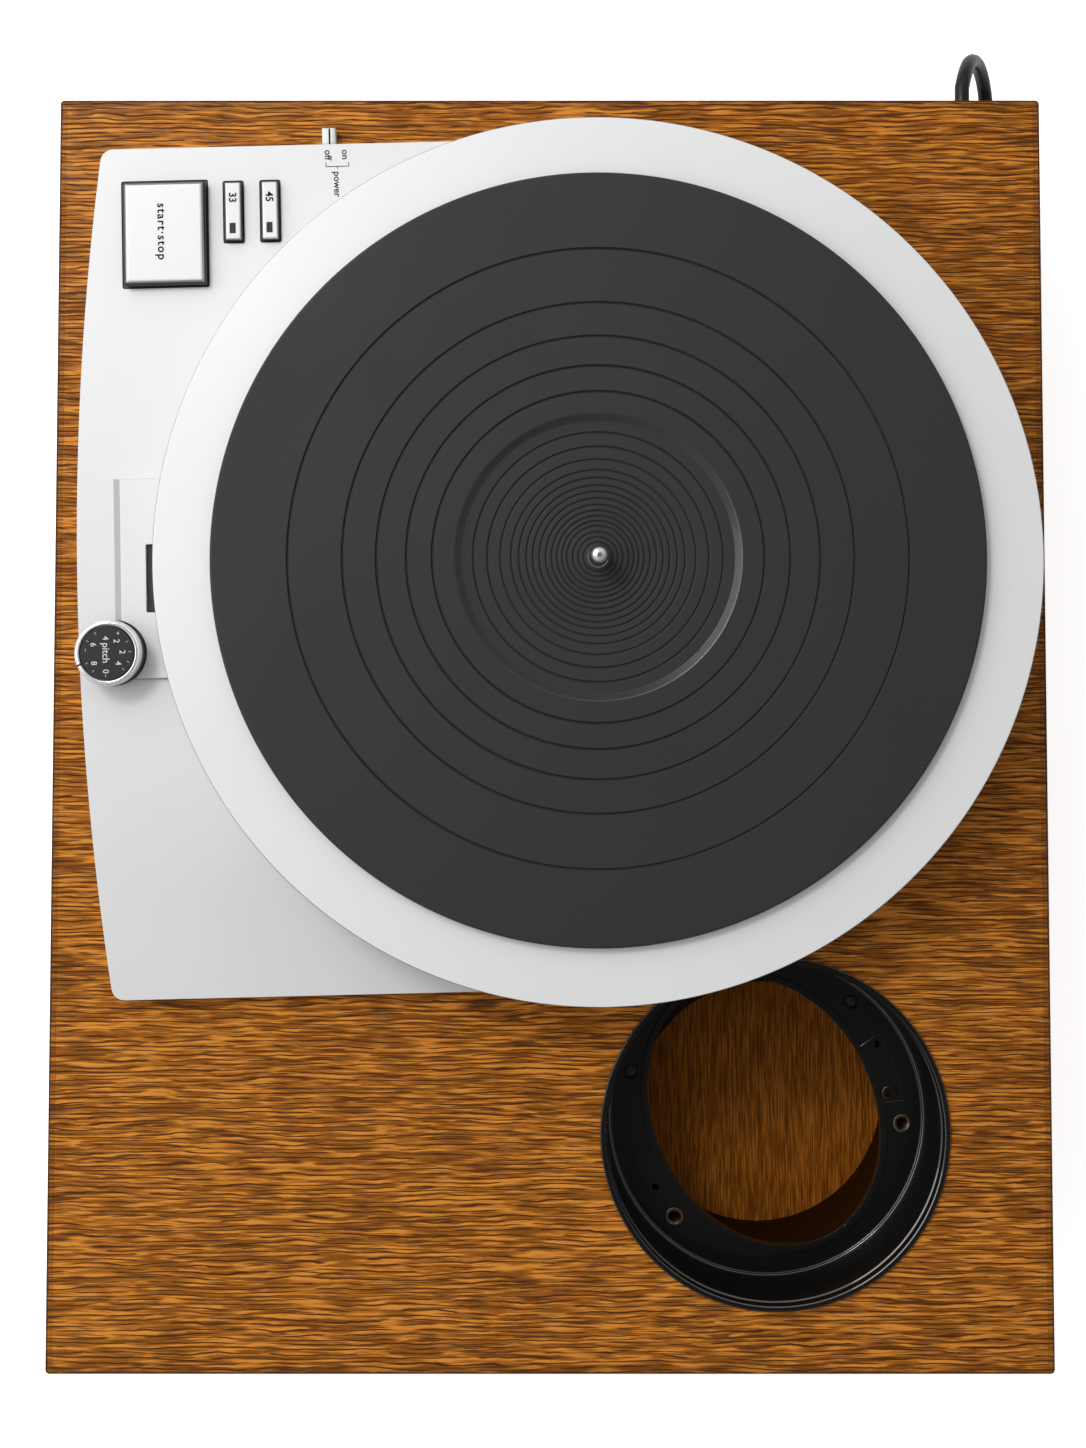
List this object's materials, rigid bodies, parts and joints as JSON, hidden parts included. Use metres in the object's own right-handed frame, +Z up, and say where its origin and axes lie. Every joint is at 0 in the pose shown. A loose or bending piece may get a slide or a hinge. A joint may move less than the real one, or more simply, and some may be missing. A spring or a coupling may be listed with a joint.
{
  "type": "direct drive turntable",
  "caption": "Direct drive turntable in a veneered wooden plinth, with a grooved mat on its platter, press buttons, a pitch ring and an open well for a tone arm.",
  "frame": {"origin": "on the floor, below the middle of the plinth", "axes": "+X to the operator's right along the plinth's long side, +Y away from the operator, +Z up"},
  "size_m": [0.5352, 0.392, 0.1613],
  "materials": {
    "oak": "orange-brown oak veneer, satin varnish",
    "oak_inside": "raw sawn board",
    "foot_rubber": "matt black rubber",
    "collar_black": "satin black moulding",
    "brass": "turned brass",
    "deck_silver": "fine satin silver",
    "platter_silver": "turned satin aluminium",
    "button_silver": "satin silver",
    "chrome": "polished",
    "mat_rubber": "matt dark grey rubber",
    "black_plastic": "satin black",
    "smoke_lens": "clear smoked window",
    "lamp_glass": "clear glass tube",
    "cord_black": "soft glossy black sheath",
    "tray_steel": "dark grey painted sheet",
    "cast_frame": "as cast",
    "steel": "bare steel",
    "bronze": "sintered bronze",
    "magnet": "dark ferrite",
    "copper": "enamelled copper wire",
    "board_green": "green circuit board",
    "nylon": "natural nylon"
  },
  "bodies": {
    "plinth_unit": {"plinth_top": "oak", "plinth_front": "oak", "plinth_back": "oak", "plinth_left": "oak", "plinth_right": "oak", "plinth_floor": "oak_inside", "arm_block": "oak_inside", "foot_front_left": "foot_rubber", "foot_front_right": "foot_rubber", "foot_back_left": "foot_rubber", "foot_back_right": "foot_rubber", "arm_collar": "collar_black", "collar_insert_front": "brass", "collar_insert_back": "brass", "deck_plate": "deck_silver", "button_frame": "black_plastic", "chassis_tray": "tray_steel", "motor_frame": "cast_frame", "stator_core": "steel", "stator_windings": "copper", "bearing_housing": "steel", "upper_bush": "bronze", "lower_bush": "bronze", "thrust_pad": "nylon", "bearing_cap": "steel", "main_board": "board_green", "transformer_core": "steel", "transformer_coil": "copper", "switch_board": "board_green", "start_switch": "black_plastic", "speed_33_switch": "black_plastic", "speed_45_switch": "black_plastic", "power_switch": "black_plastic", "pitch_pot": "steel", "pitch_dial": "black_plastic", "pitch_base": "black_plastic", "strobe_housing": "black_plastic", "strobe_lamp": "lamp_glass", "strobe_lens": "smoke_lens", "cord_gland": "black_plastic", "cord_lead": "cord_black", "cord_coil": "cord_black", "cord_tail": "cord_black", "cord_tie": "black_plastic", "plug_body": "black_plastic", "plug_blade_left": "brass", "plug_blade_right": "brass"},
    "platter_unit": {"platter": "platter_silver", "platter_mat": "mat_rubber", "spindle": "chrome", "rotor_magnet": "magnet", "rotor_yoke": "steel"},
    "start_key": {"start_button": "button_silver"},
    "speed_33_key": {"speed_33_button": "button_silver", "speed_33_lens": "smoke_lens"},
    "speed_45_key": {"speed_45_button": "button_silver", "speed_45_lens": "smoke_lens"},
    "power_key": {"power_lever": "button_silver"},
    "pitch_ring": {"pitch_knob": "chrome"}
  },
  "joints": [
    {"name": "platter_spin", "type": "hinge", "parent": "plinth_unit", "child": "platter_unit", "pos_m": [-0.064, 0.0178, 0.109], "axis": [0, 0, 1], "continuous": true},
    {"name": "start_press", "type": "slide", "parent": "plinth_unit", "child": "start_key", "axis": [0, 0, -1], "range_m": [0, 0.0015], "stiffness_N_per_m": 400, "springref_m": -0.0015},
    {"name": "speed_33_press", "type": "slide", "parent": "plinth_unit", "child": "speed_33_key", "axis": [0, 0, -1], "range_m": [0, 0.0015], "stiffness_N_per_m": 300, "springref_m": -0.0015},
    {"name": "speed_45_press", "type": "slide", "parent": "plinth_unit", "child": "speed_45_key", "axis": [0, 0, -1], "range_m": [0, 0.0015], "stiffness_N_per_m": 300, "springref_m": -0.0015},
    {"name": "power_slide", "type": "slide", "parent": "plinth_unit", "child": "power_key", "axis": [-0.0244, 0.9997, 0], "range_m": [0, 0.0065]},
    {"name": "pitch_turn", "type": "hinge", "parent": "plinth_unit", "child": "pitch_ring", "pos_m": [-0.02856, -0.16759, 0.12], "axis": [0, 0, 1], "range_deg": [-140, 140]}
  ]
}
